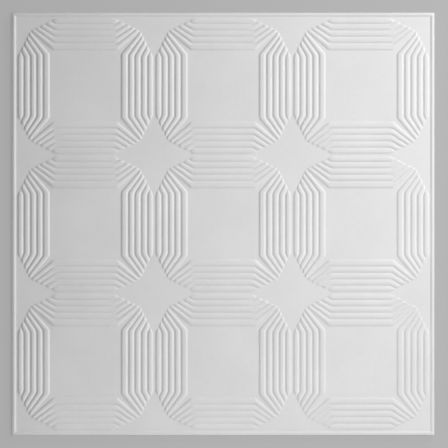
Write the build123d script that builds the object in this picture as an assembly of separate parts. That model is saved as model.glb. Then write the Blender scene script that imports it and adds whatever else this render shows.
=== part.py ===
from build123d import *
from math import atan, degrees, radians, tan
import os

# A square ceiling tile, pressed in one piece from thin polystyrene foam. Its face has square cells,
# and each side of a cell has a band of nested ribs that bend towards the cell's corners. Where the
# corners of four cells meet, the face is a flat four-pointed star. A raised rim runs round the edge.
# The tile lies on its flat back, face up, with the origin at the middle of the back.

# Tile, in millimetres
tile_side = 500.0
field_thickness = 3.0
relief_height = 1.1
flank_run = 1.9  # the width in plan of each sloping side of the relief

# Rim, measured at its foot
rim_width = 5.05
edge_run = 2.4  # the bevel of the rim's outer edge, in plan and in height
edge_drop = 0.7

# Cells, and the ribs along each side of a cell, measured at their feet
cells_across = 3
rib_count = 5
first_rib_depth = 1.1  # from the cell's edge to the outermost rib
rib_width = 7.2
rib_gap = 0.36
inner_rib_extra = 1.2  # the rib beside the cell's flat middle is wider by this

# Cell corners: a reach is measured along a cell's edge, from the cell's corner
star_tip_reach = 48.8
star_waist_reach = 16.3
bend_reach = 48.3
bend_line_lean = 7.0  # degrees from square to the cell's edge
corner_gap = 0.4  # between the inner ribs of two sides, where they meet the star
end_crowding = 0.43  # how far the ends of the ribs crowd towards the star's waist

flank_draft = degrees(atan(flank_run / relief_height))
field_side = tile_side - 2 * rim_width
cell_pitch = field_side / cells_across
half_pitch = cell_pitch / 2
bend_lean = tan(radians(bend_line_lean))
star_slope = star_waist_reach / (star_tip_reach - star_waist_reach)
last_rib = rib_count - 1


def rib_depths(number):
    """The depths of a rib's outer and inner foot from the cell's edge."""
    outer = first_rib_depth + number * (rib_width + rib_gap)
    inner = outer + rib_width
    if number == last_rib:
        inner += inner_rib_extra
    return outer, inner


def bend_at(depth):
    """The reach at which a foot line of this depth bends."""
    return bend_reach - bend_lean * depth


# The inner foot of the innermost rib ends half the corner gap off the cell's diagonal. The ends of
# the other foot lines fan out from there, along the edge of the star.
inner_depth = rib_depths(last_rib)[1]
end_reach = star_waist_reach + corner_gap / 2**0.5 / (1 + star_slope)


def star_end(depth):
    """The reach and depth at which a foot line ends on the edge of the star."""
    share = depth / inner_depth
    along = share * (1 + end_crowding * (1 - share))
    reach = star_tip_reach - along * (star_tip_reach - end_reach)
    return reach, star_slope * (star_tip_reach - reach)


def half_outline(number):
    """Half of a rib's foot, from its outer to its inner side, as reaches and depths."""
    outer, inner = rib_depths(number)
    inner_bend = (bend_at(inner), inner)
    if number == 0:
        # The outermost rib is straight outside, up to the edge of the star.
        return [(star_tip_reach - outer / star_slope, outer), star_end(inner), inner_bend]
    return [(bend_at(outer), outer), star_end(outer), star_end(inner), inner_bend]


def rib_foot(number):
    """A rib's foot along the lower side of a cell that is centred on the origin."""
    right = [(half_pitch - reach, depth - half_pitch) for reach, depth in half_outline(number)]
    left = [(-x, y) for x, y in reversed(right)]
    return make_face(Polyline(*right, *left, close=True))


def raised(foot, draft_angle):
    """A form of the relief's height over a foot on the field, with drafted sides."""
    straight = extrude(Pos(0, 0, field_thickness) * foot, amount=relief_height)
    sides = straight.faces() - straight.faces().filter_by(Plane.XY)
    return draft(sides, Plane.XY.offset(field_thickness), draft_angle)


# Flat slab with a bevelled upper edge, and the field sunk into it inside the rim
bottom = (Align.CENTER, Align.CENTER, Align.MIN)
slab = Box(tile_side, tile_side, field_thickness + relief_height, align=bottom)
top_face = slab.faces().sort_by(Axis.Z)[-1]
slab = chamfer(top_face.edges(), edge_run, edge_drop, reference=top_face)
slab -= raised(Rectangle(field_side, field_side), -flank_draft)

# Ribs on every side of every cell
side_ribs = [raised(rib_foot(number), flank_draft) for number in range(rib_count)]
cells = GridLocations(cell_pitch, cell_pitch, cells_across, cells_across)
quarter_turns = [Rot(0, 0, turn) for turn in (0, 90, 180, 270)]
tile = slab + [cell * turn * rib for cell in cells for turn in quarter_turns for rib in side_ribs]

os.makedirs("parts", exist_ok=True)
export_step(tile, "parts/foam_tile.step")
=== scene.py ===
import math

import bpy
import numpy as np
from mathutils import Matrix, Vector
from mathutils.geometry import delaunay_2d_cdt


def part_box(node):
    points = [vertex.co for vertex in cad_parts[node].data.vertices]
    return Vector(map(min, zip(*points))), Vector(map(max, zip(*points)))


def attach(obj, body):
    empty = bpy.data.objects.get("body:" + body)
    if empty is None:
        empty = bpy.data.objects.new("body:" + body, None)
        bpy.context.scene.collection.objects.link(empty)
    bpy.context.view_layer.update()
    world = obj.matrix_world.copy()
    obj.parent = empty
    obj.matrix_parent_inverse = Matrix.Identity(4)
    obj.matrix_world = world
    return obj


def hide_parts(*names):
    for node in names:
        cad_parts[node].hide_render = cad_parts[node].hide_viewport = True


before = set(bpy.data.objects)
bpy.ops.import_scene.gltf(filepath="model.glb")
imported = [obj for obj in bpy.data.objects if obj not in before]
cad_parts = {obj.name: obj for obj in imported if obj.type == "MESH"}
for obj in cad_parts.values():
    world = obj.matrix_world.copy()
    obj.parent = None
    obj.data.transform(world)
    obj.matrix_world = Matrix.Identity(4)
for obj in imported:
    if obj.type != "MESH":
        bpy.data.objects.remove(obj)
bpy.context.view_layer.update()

# Sizes of the relief, in millimetres. The tile's own size comes from the frame.
MM = 0.001
FIELD_THICKNESS = 3.0

# Rim and edges
RIM_WIDTH = 5.05
EDGE_RUN = 2.4  # the bevel of the rim's outer edge, in plan and in height
EDGE_DROP = 0.45
EDGE_CURVE = 1.25  # 1 is a straight bevel, and a higher number runs out softly into the rim's top
EDGE_ROUNDING = 0.25
BEVEL_START = 0.04  # the share of the bevel's run at which its own lines begin
BEVEL_STEPS = 8
BACK_EDGE_RADIUS = 0.3
BACK_EDGE_STEPS = 4
BACK_FACE_INSET = 0.6
CORNER_RADIUS = 1.5
CORNER_STEPS = 7
CORNER_LEAD = 3.0  # where the lines along a side end before its corner, in corner radii

# Cells and ribs
SIDES = 4
QUARTER_TURN = math.pi / 2
CELLS_ACROSS = 3
RIB_COUNT = 5
FIRST_RIB_DEPTH = 1.1
RIB_WIDTH = 7.2
RIB_GAP = 0.36
INNER_RIB_EXTRA = 1.2

STAR_TIP_REACH = 48.8
STAR_WAIST_REACH = 16.3
BEND_REACH = 48.3
BEND_LINE_LEAN = math.radians(7.0)
CORNER_GAP = 0.4
END_CROWDING = 0.43  # how far the ends of the ribs crowd towards the star's waist

# The soft section of every raised form: a hollow at the foot, a straight flank and a round shoulder
FOOT_RUN = 0.2
FLANK_RUN = 1.5
SHOULDER_RUN = 0.9
SHOULDER_STEPS = (0.0, 0.3, 0.62, 1.0)
NARROWING = 0.7  # how much the flanks steepen where a rib narrows: 0 not at all, 1 in full
SKIRT = 0.25  # flat strip round each raised form
BEND_ROUNDING = 2.0
BEND_STEPS = 5
STATION_GAP = 0.15  # the least distance between two stations along a rib

tile_low, tile_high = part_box("foam_tile")
tile_side = (tile_high.x - tile_low.x) / MM
relief_height = tile_high.z / MM - FIELD_THICKNESS
cell_pitch = (tile_side - 2 * RIM_WIDTH) / CELLS_ACROSS
half_pitch = cell_pitch / 2
last_rib = RIB_COUNT - 1
bend_lean = math.tan(BEND_LINE_LEAN)
star_slope = STAR_WAIST_REACH / (STAR_TIP_REACH - STAR_WAIST_REACH)


# Section of the relief

flank_end = FOOT_RUN + FLANK_RUN
shoulder_end = flank_end + SHOULDER_RUN
section_insets = [0.0, FOOT_RUN / 2, FOOT_RUN]
section_insets += [flank_end + SHOULDER_RUN * step for step in SHOULDER_STEPS]


def raised_share(inset):
    """The share of the full height at a distance inside the foot of a raised form."""
    full = FOOT_RUN / 2 + FLANK_RUN + SHOULDER_RUN / 2
    if inset <= 0:
        return 0.0
    if inset < FOOT_RUN:
        return inset**2 / (2 * FOOT_RUN) / full
    if inset < flank_end:
        return (FOOT_RUN / 2 + inset - FOOT_RUN) / full
    left = shoulder_end - inset
    return 1.0 - max(left, 0.0)**2 / (2 * SHOULDER_RUN) / full


# Plan of the ribs along one side of a cell. A reach runs along the cell's edge from its corner, and
# a depth runs inwards from the edge.

def rib_depths(number):
    """The depths of a rib's outer and inner foot."""
    outer = FIRST_RIB_DEPTH + number * (RIB_WIDTH + RIB_GAP)
    inner = outer + RIB_WIDTH
    if number == last_rib:
        inner += INNER_RIB_EXTRA
    return outer, inner


def bend_at(depth):
    """The reach at which a line of this depth bends."""
    return BEND_REACH - bend_lean * depth


inner_depth = rib_depths(last_rib)[1]
end_reach = STAR_WAIST_REACH + CORNER_GAP / math.sqrt(2) / (1 + star_slope)


def star_end(depth):
    """The end of a line on the edge of the star."""
    share = depth / inner_depth
    along = share * (1 + END_CROWDING * (1 - share))
    reach = STAR_TIP_REACH - along * (STAR_TIP_REACH - end_reach)
    return np.array([reach, star_slope * (STAR_TIP_REACH - reach)])


def straight_end(depth):
    """The end on the star of a line that doesn't bend."""
    return np.array([STAR_TIP_REACH - depth / star_slope, depth])


def line_points(depth, end):
    """Half of one line along a rib, from beyond the star's edge to past its bend."""
    bend = np.array([bend_at(depth), depth])
    length = np.linalg.norm(bend - end)
    along = (bend - end) / length
    straight = np.array([1.0, 0.0])
    rounding = min(BEND_ROUNDING, length / 2)

    def point(run):
        if run <= length - rounding:
            return end + along * run
        if run >= length + rounding:
            return bend + straight * (run - length)
        step = (run - length + rounding) / (2 * rounding)
        before = bend - along * rounding
        after = bend + straight * rounding
        return (1 - step)**2 * before + 2 * step * (1 - step) * bend + step**2 * after

    end_angle = math.atan2(along[1], along[0]) + math.atan(star_slope)
    runs = [-SKIRT] + [inset / math.sin(end_angle) for inset in section_insets]
    for share in np.linspace(-1, 1, BEND_STEPS):
        runs.append(max(length + share * rounding, runs[-1] + STATION_GAP))
    return np.array([point(run) for run in runs])


def rib_lines(number):
    """The lines along one rib, from its outer to its inner foot, with their share of its width."""
    outer, inner = rib_depths(number)
    outer_end = straight_end(outer) if number == 0 else star_end(outer)
    inner_end = star_end(inner)
    width = inner - outer
    insets = section_insets + [width - inset for inset in reversed(section_insets)]
    shares = np.array(insets) / width
    lines = [line_points(outer + width * t, outer_end * (1 - t) + inner_end * t) for t in shares]
    return np.array(lines), shares


def rib_heights(lines, shares):
    """Share of the full height at each point of a rib, with steeper flanks where it narrows."""
    across = lines[-1] - lines[0]
    along = np.gradient((lines[0] + lines[-1]) / 2, axis=0)
    along /= np.linalg.norm(along, axis=1)[:, None]
    widths = np.abs(along[:, 0] * across[:, 1] - along[:, 1] * across[:, 0])
    end_shares = [0.0] + [raised_share(inset) for inset in section_insets]
    end_shares += [1.0] * (lines.shape[1] - len(end_shares))
    heights = np.zeros(lines.shape[:2])
    for i, share in enumerate(shares):
        for j, width in enumerate(widths):
            steeper = max(RIB_WIDTH / width, 1.0)**NARROWING
            inset = min(share, 1 - share) * width * steeper
            heights[i, j] = raised_share(inset) * end_shares[j]
    return heights


def band_grid():
    """One band of ribs as a grid of points along the lower side of a cell centred on the origin."""
    first_depth = rib_depths(0)[0] - SKIRT
    last_depth = inner_depth + SKIRT
    points = [line_points(first_depth, straight_end(first_depth))[None]]
    heights = [np.zeros(points[0].shape[:2])]
    for number in range(RIB_COUNT):
        lines, shares = rib_lines(number)
        points.append(lines)
        heights.append(rib_heights(lines, shares))
    points.append(line_points(last_depth, star_end(last_depth))[None])
    heights.append(np.zeros(points[-1].shape[:2]))
    points = np.concatenate(points)
    x = half_pitch - points[:, :, 0]
    y = points[:, :, 1] - half_pitch
    z = FIELD_THICKNESS + relief_height * np.concatenate(heights)
    right = np.stack([x, y, z], axis=2)
    left = right[:, ::-1].copy()
    left[:, :, 0] *= -1
    return np.concatenate([right, left], axis=1)


# Mesh

class MeshParts:
    """Vertices and faces gathered from several grids."""

    def __init__(self):
        self.vertices = []
        self.faces = []

    def add_points(self, points):
        first = len(self.vertices)
        self.vertices.extend(map(tuple, points))
        return list(range(first, len(self.vertices)))

    def add_grid(self, grid, closed=False, flip=False):
        rows, columns = grid.shape[:2]
        index = np.array(self.add_points(grid.reshape(-1, 3))).reshape(rows, columns)
        across = columns if closed else columns - 1
        for i in range(rows - 1):
            for j in range(across):
                k = (j + 1) % columns
                face = [index[i, j], index[i, k], index[i + 1, k], index[i + 1, j]]
                self.faces.append(face[::-1] if flip else face)
        return index


def turned(grid, quarter):
    """A grid turned about the origin by a number of quarter turns."""
    x, y, z = grid[..., 0], grid[..., 1], grid[..., 2]
    for _ in range(quarter):
        x, y = -y, x
    return np.stack([x, y, z], axis=-1)


def rounded_square(inset, height):
    """A ring round the tile at a distance inside its edge."""
    half = tile_side / 2 - inset
    radius = CORNER_RADIUS
    centre = np.array([half - radius, half - radius])
    lead = half - radius * CORNER_LEAD
    corner_points = [np.array([half, lead])]
    for angle in np.linspace(0, QUARTER_TURN, CORNER_STEPS):
        corner_points.append(centre + radius * np.array([math.cos(angle), math.sin(angle)]))
    corner_points.append(np.array([lead, half]))
    ring = []
    for corner in range(SIDES):
        start = corner * QUARTER_TURN
        turn = np.array([[math.cos(start), -math.sin(start)], [math.sin(start), math.cos(start)]])
        ring.extend(turn @ point for point in corner_points)
    return np.array([[x, y, height] for x, y in ring])


def rim_rings():
    """Rings from the back, up the edge, over the rim and down to the field."""
    top = FIELD_THICKNESS + relief_height
    section = [(BACK_FACE_INSET, 0.0)]
    for angle in np.linspace(0, QUARTER_TURN, BACK_EDGE_STEPS):
        bend = BACK_EDGE_RADIUS * (1 - math.sin(angle))
        section.append((bend, BACK_EDGE_RADIUS * (1 - math.cos(angle))))
    section.append((0.0, top - EDGE_DROP - EDGE_ROUNDING))
    for share in np.linspace(BEVEL_START, 1, BEVEL_STEPS):
        section.append((EDGE_RUN * share, top - EDGE_DROP * (1 - share)**EDGE_CURVE))
    for inset in reversed(section_insets):
        height = FIELD_THICKNESS + relief_height * raised_share(inset)
        section.append((RIM_WIDTH - inset, height))
    section.append((RIM_WIDTH + SKIRT, FIELD_THICKNESS))
    return np.array([rounded_square(inset, height) for inset, height in section])


TRIANGLES_INSIDE = 1  # the fill keeps the triangles inside the loops
SAME_POINT = 1e-6


def fill_field(parts, loops):
    """Flat triangles inside the first loop and outside all the others."""
    flat = [i for loop in loops for i in loop]
    at = {vertex: place for place, vertex in enumerate(flat)}
    points = [Vector(parts.vertices[i][:2]) for i in flat]
    faces = [[at[i] for i in loop] for loop in loops]
    out = delaunay_2d_cdt(points, [], faces, TRIANGLES_INSIDE, SAME_POINT)
    out_points, _, out_faces, origins, _, out_sources = out
    assert len(out_points) == len(points)
    for face, source in zip(out_faces, out_sources):
        if list(source) == [0]:
            parts.faces.append([flat[origins[i][0]] for i in face])


def build_tile():
    parts = MeshParts()
    rim = parts.add_grid(rim_rings(), closed=True)
    parts.faces.append(list(rim[0][::-1]))
    loops = [list(rim[-1])]
    band = band_grid()
    middle = (CELLS_ACROSS - 1) / 2
    for column in range(CELLS_ACROSS):
        for row in range(CELLS_ACROSS):
            place = np.array([(column - middle) * cell_pitch, (row - middle) * cell_pitch, 0.0])
            for quarter in range(SIDES):
                index = parts.add_grid(turned(band, quarter) + place, flip=True)
                loop = list(index[0]) + list(index[1:-1, -1])
                loop += list(index[-1][::-1]) + list(index[-2:0:-1, 0])
                loops.append(loop[::-1])
    fill_field(parts, loops)
    return parts


def mesh_object(name, parts):
    mesh = bpy.data.meshes.new(name)
    mesh.from_pydata([Vector(v) * MM for v in parts.vertices], [], parts.faces)
    mesh.validate()
    mesh.polygons.foreach_set("use_smooth", [True] * len(mesh.polygons))
    mesh.update()
    piece = bpy.data.objects.new(name, mesh)
    bpy.context.scene.collection.objects.link(piece)
    return piece


# Materials

WHITE = (1.0, 1.0, 1.0, 1.0)

# Foam skin. A noise is given as its scale per metre, its detail and its roughness.
FOAM_DULL = (0.755, 0.757, 0.757, 1.0)
FOAM_BRIGHT = (0.805, 0.805, 0.802, 1.0)
FOAM_ROUGHNESS = (0.52, 0.64)
FOAM_SPECULAR = 0.35
CLOUD_NOISE = (14.0, 4.0, 0.55)
FLECK_NOISE = (260.0, 3.0, 0.55)
WAVE_NOISE = (45.0, 2.0, 0.55)
GRAIN_NOISE = (900.0, 4.0, 0.6)
FLECK_SHARE = 0.4  # the flecks' part in the tone, beside the clouds'
TONE_RANGE = (0.5, 0.9)  # the sum of clouds and flecks from the dull to the bright tone
CLOUD_RANGE = (0.3, 0.7)
WAVE_STRENGTH = 0.25
WAVE_HEIGHT = 0.0004
GRAIN_STRENGTH = 0.12
GRAIN_HEIGHT = 0.0002

FLOOR_GREY = (0.16, 0.16, 0.16, 1.0)
FLOOR_ROUGHNESS = 0.8
FLOOR_GLOW = 0.31  # 1 is white


class Nodes:
    """Short calls for making a node material."""

    def __init__(self, name):
        self.material = bpy.data.materials.new(name)
        self.material.use_nodes = True
        self.tree = self.material.node_tree
        self.shader = self.tree.nodes["Principled BSDF"]

    def add(self, kind, **inputs):
        node = self.tree.nodes.new(kind)
        for key, value in inputs.items():
            node.inputs[key.replace("_", " ")].default_value = value
        return node

    def link(self, out, into):
        self.tree.links.new(out, into)


def noise(nodes, coordinates, kind):
    scale, detail, roughness = kind
    node = nodes.add("ShaderNodeTexNoise", Scale=scale, Detail=detail, Roughness=roughness)
    nodes.link(coordinates, node.inputs["Vector"])
    return node.outputs["Fac"]


def mapped(nodes, value, low_high, to_low_high):
    """A value carried over from one range to another."""
    node = nodes.add("ShaderNodeMapRange")
    for socket, number in zip(node.inputs[1:5], low_high + to_low_high):
        socket.default_value = number
    nodes.link(value, node.inputs["Value"])
    return node.outputs["Result"]


def white_foam():
    """Satin white foam with faint clouds and flecks, a slight wave and a fine grain."""
    nodes = Nodes("white_foam_skin")
    shader = nodes.shader
    coordinates = nodes.add("ShaderNodeTexCoord").outputs["Object"]
    cloud = noise(nodes, coordinates, CLOUD_NOISE)
    fleck = noise(nodes, coordinates, FLECK_NOISE)
    tone = nodes.add("ShaderNodeMix")
    tone.data_type = "RGBA"
    tone.inputs["A"].default_value = FOAM_DULL
    tone.inputs["B"].default_value = FOAM_BRIGHT
    both = nodes.add("ShaderNodeMath")
    both.operation = "MULTIPLY_ADD"
    nodes.link(fleck, both.inputs[0])
    both.inputs[1].default_value = FLECK_SHARE
    nodes.link(cloud, both.inputs[2])
    nodes.link(mapped(nodes, both.outputs[0], TONE_RANGE, (0.0, 1.0)), tone.inputs["Factor"])
    nodes.link(tone.outputs["Result"], shader.inputs["Base Color"])
    nodes.link(mapped(nodes, cloud, CLOUD_RANGE, FOAM_ROUGHNESS), shader.inputs["Roughness"])
    shader.inputs["Specular IOR Level"].default_value = FOAM_SPECULAR
    grain = noise(nodes, coordinates, GRAIN_NOISE)
    wave = noise(nodes, coordinates, WAVE_NOISE)
    broad = nodes.add("ShaderNodeBump", Strength=WAVE_STRENGTH, Distance=WAVE_HEIGHT)
    nodes.link(wave, broad.inputs["Height"])
    fine = nodes.add("ShaderNodeBump", Strength=GRAIN_STRENGTH, Distance=GRAIN_HEIGHT)
    nodes.link(grain, fine.inputs["Height"])
    nodes.link(broad.outputs["Normal"], fine.inputs["Normal"])
    nodes.link(fine.outputs["Normal"], shader.inputs["Normal"])
    return nodes.material


def pale_floor():
    """Matt grey, with an even glow that only the view and reflections see."""
    nodes = Nodes("pale_floor")
    shader = nodes.shader
    shader.inputs["Base Color"].default_value = FLOOR_GREY
    shader.inputs["Roughness"].default_value = FLOOR_ROUGHNESS
    shader.inputs["Specular IOR Level"].default_value = 0.0
    shader.inputs["Emission Color"].default_value = WHITE
    path = nodes.add("ShaderNodeLightPath")
    seen = path.outputs["Is Camera Ray"]
    for kind in ("Is Glossy Ray", "Is Transmission Ray"):
        total = nodes.add("ShaderNodeMath")
        nodes.link(seen, total.inputs[0])
        nodes.link(path.outputs[kind], total.inputs[1])
        seen = total.outputs[0]
    glow = mapped(nodes, seen, (0.0, 1.0), (0.0, FLOOR_GLOW))
    nodes.link(glow, shader.inputs["Emission Strength"])
    return nodes.material


# Floor, light and camera, in metres

FLOOR_SIDE = 12.0
FLOOR_DROP = 0.0002

WORLD_STRENGTH = 0.046
MAIN_LAMP = {"place": (0.47, 0.1, 1.03), "size": 0.35, "watts": 7.9}
RAKING_LAMP = {"place": (1.0, 1.0, 0.45), "size": 0.3, "watts": 10.4}
BOUNCE_LAMP = {"place": (0.0, -0.8, 0.35), "size": 0.6, "watts": 2.3}

CAMERA_HEIGHT = 2.6
SENSOR = 36.0
FRAME_PIXELS = 448.0
TILE_PIXELS = 422.5  # the tile's side in the picture
TILE_CENTRE_ACROSS = 223.2  # the tile's centre, in pixels from the picture's left and top
TILE_CENTRE_DOWN = 223.9


def make_floor():
    mesh = bpy.data.meshes.new("floor")
    half = FLOOR_SIDE / 2
    corners = [(-half, -half), (half, -half), (half, half), (-half, half)]
    mesh.from_pydata([(x, y, -FLOOR_DROP) for x, y in corners], [], [(0, 1, 2, 3)])
    mesh.materials.append(pale_floor())
    floor = bpy.data.objects.new("floor", mesh)
    bpy.context.scene.collection.objects.link(floor)


def area_lamp(name, place, size, watts):
    """A square lamp that faces the middle of the tile."""
    data = bpy.data.lights.new(name, "AREA")
    data.shape = "SQUARE"
    data.size = size
    data.energy = watts
    lamp = bpy.data.objects.new(name, data)
    lamp.location = place
    lamp.rotation_euler = Vector(place).to_track_quat("Z", "Y").to_euler()
    bpy.context.scene.collection.objects.link(lamp)


def make_light():
    world = bpy.data.worlds.new("studio")
    world.use_nodes = True
    background = world.node_tree.nodes["Background"]
    background.inputs["Color"].default_value = WHITE
    background.inputs["Strength"].default_value = WORLD_STRENGTH
    bpy.context.scene.world = world
    area_lamp("main", **MAIN_LAMP)
    area_lamp("raking", **RAKING_LAMP)
    area_lamp("bounce", **BOUNCE_LAMP)


def make_camera():
    """A camera straight above the tile, which looks down on it."""
    data = bpy.data.cameras.new("camera")
    data.sensor_width = SENSOR
    view_width = tile_side * MM * FRAME_PIXELS / TILE_PIXELS
    data.lens = SENSOR * (CAMERA_HEIGHT - tile_high.z) / view_width
    camera = bpy.data.objects.new("camera", data)
    metres_per_pixel = view_width / FRAME_PIXELS
    across = (FRAME_PIXELS / 2 - TILE_CENTRE_ACROSS) * metres_per_pixel
    up = (TILE_CENTRE_DOWN - FRAME_PIXELS / 2) * metres_per_pixel
    camera.location = (across, up, CAMERA_HEIGHT)
    bpy.context.scene.collection.objects.link(camera)
    bpy.context.scene.camera = camera


tile = mesh_object("pressed_tile", build_tile())
tile.data.materials.append(white_foam())
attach(tile, "root")
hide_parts("foam_tile")

make_floor()
make_light()
make_camera()
bpy.context.scene.view_settings.view_transform = "Standard"
